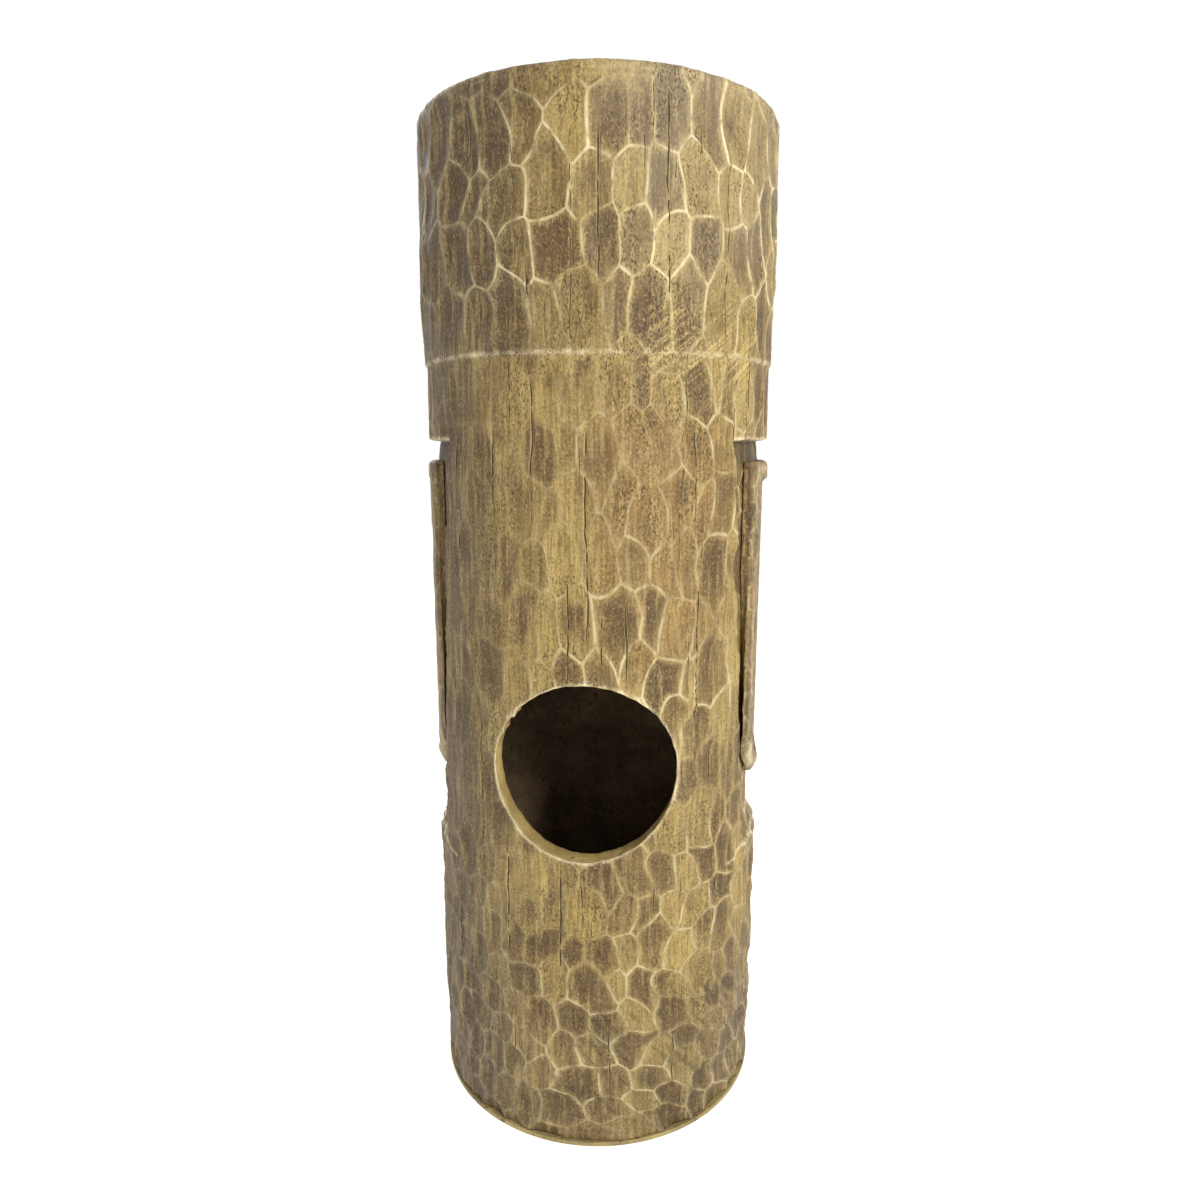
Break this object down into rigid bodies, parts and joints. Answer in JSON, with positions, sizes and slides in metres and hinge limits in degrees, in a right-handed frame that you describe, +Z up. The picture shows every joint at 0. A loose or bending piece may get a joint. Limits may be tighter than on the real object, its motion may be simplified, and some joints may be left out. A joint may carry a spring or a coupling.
{
  "type": "garden tiki figure",
  "caption": "Tall round hollow tiki column with a carved look: crown, brow band, long side ears, a relief face and a round hand hole through the back.",
  "frame": {"origin": "centre of the underside of the base disc, on the floor", "axes": "+Z up along the column's axis; the face looks along -Y and the hand hole opens along +Y; the figure's own left ear is at +X"},
  "size_m": [0.324, 0.324, 0.9],
  "materials": {
    "rear_cast": "matte",
    "face_cast": "matte",
    "ear_cast": "matte",
    "cap_cast": "matte",
    "base_cast": "matte",
    "seam_strip": "matte",
    "dowel_steel": "satin",
    "screw_steel": "satin"
  },
  "bodies": {
    "root": {"rear_shell": "rear_cast", "face_shell": "face_cast", "left_ear": "ear_cast", "right_ear": "ear_cast", "crown_cap": "cap_cast", "base_disc": "base_cast", "left_seam_strip": "seam_strip", "right_seam_strip": "seam_strip", "ear_dowels": "dowel_steel", "base_screws": "screw_steel"}
  },
  "joints": []
}
